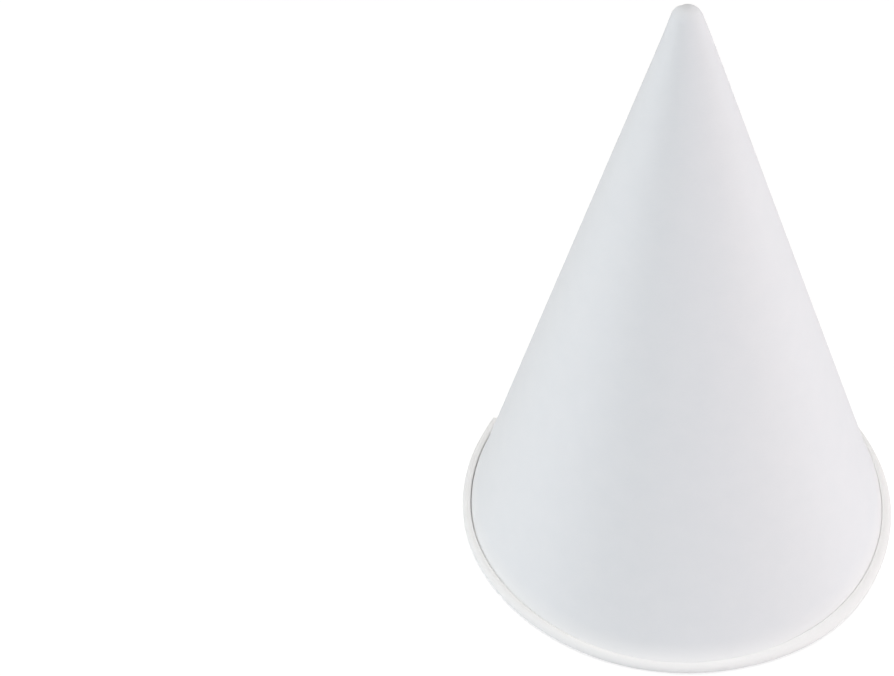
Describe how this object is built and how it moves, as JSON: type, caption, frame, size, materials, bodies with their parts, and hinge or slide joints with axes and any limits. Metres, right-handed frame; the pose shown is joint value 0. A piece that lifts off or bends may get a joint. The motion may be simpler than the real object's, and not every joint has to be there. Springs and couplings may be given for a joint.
{
  "type": "cone paper cup",
  "caption": "White paper drinking cup: one sheet wound into a pointed cone with a glued lap, closed to a blunt tip and rolled outwards at the mouth.",
  "frame": {"origin": "on the surface that the rolled rim stands on, at the cone's axis", "axes": "+Z along the cone's axis, from the mouth to the tip; -Y towards the camera of the picture"},
  "size_m": [0.0723, 0.0721, 0.095],
  "materials": {
    "white_paper": "uncoated white cup paper, matt with a faint fibre mottle, a little warmer along the rolled rim"
  },
  "bodies": {
    "root": {"cone_cup": "white_paper"}
  },
  "joints": []
}
